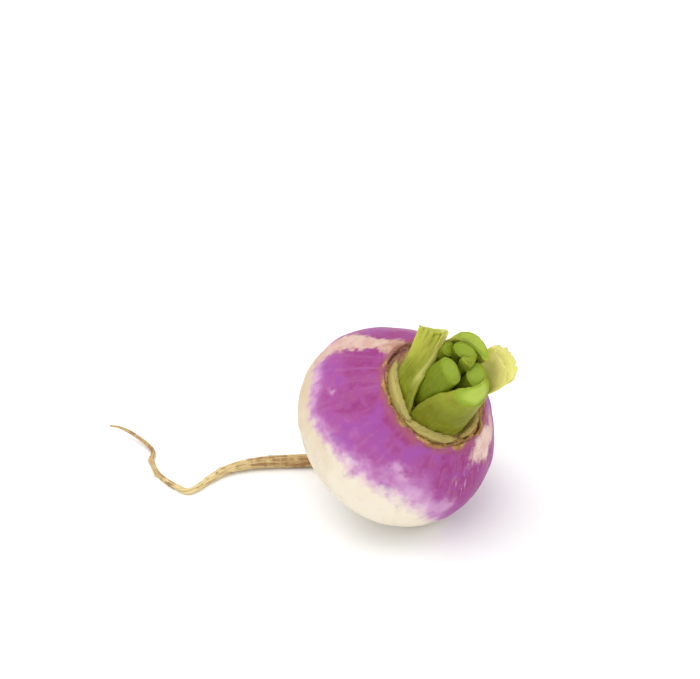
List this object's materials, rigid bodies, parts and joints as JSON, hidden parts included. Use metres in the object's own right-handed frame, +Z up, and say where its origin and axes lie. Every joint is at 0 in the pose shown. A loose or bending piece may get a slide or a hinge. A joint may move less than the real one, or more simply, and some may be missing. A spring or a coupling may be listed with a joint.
{
  "type": "turnip",
  "caption": "Purple-top turnip lying tipped on its side: a flattened round root with a long thin curved taproot and trimmed green leaf stalks.",
  "frame": {"origin": "middle of the small flat on the underside of the bulb where it rests on the table", "axes": "+Z up from the table, +X away from the taproot's tip along the table, +Y away from the viewer the crown leans toward"},
  "size_m": [0.1295, 0.0637, 0.0699],
  "materials": {
    "root_skin": "semi-gloss",
    "stalk": "satin",
    "heart": "satin",
    "leaf_base": "matt"
  },
  "bodies": {
    "root": {"turnip_root": "root_skin", "left_outer_stalk": "stalk", "front_outer_stalk": "stalk", "right_outer_stalk": "stalk", "back_outer_stalk": "stalk", "left_inner_stalk": "stalk", "far_left_inner_stalk": "stalk", "back_inner_stalk": "stalk", "right_inner_stalk": "stalk", "heart_bud": "heart", "left_leaf_base": "leaf_base", "front_leaf_base": "leaf_base", "right_leaf_base": "leaf_base", "back_leaf_base": "leaf_base"}
  },
  "joints": []
}
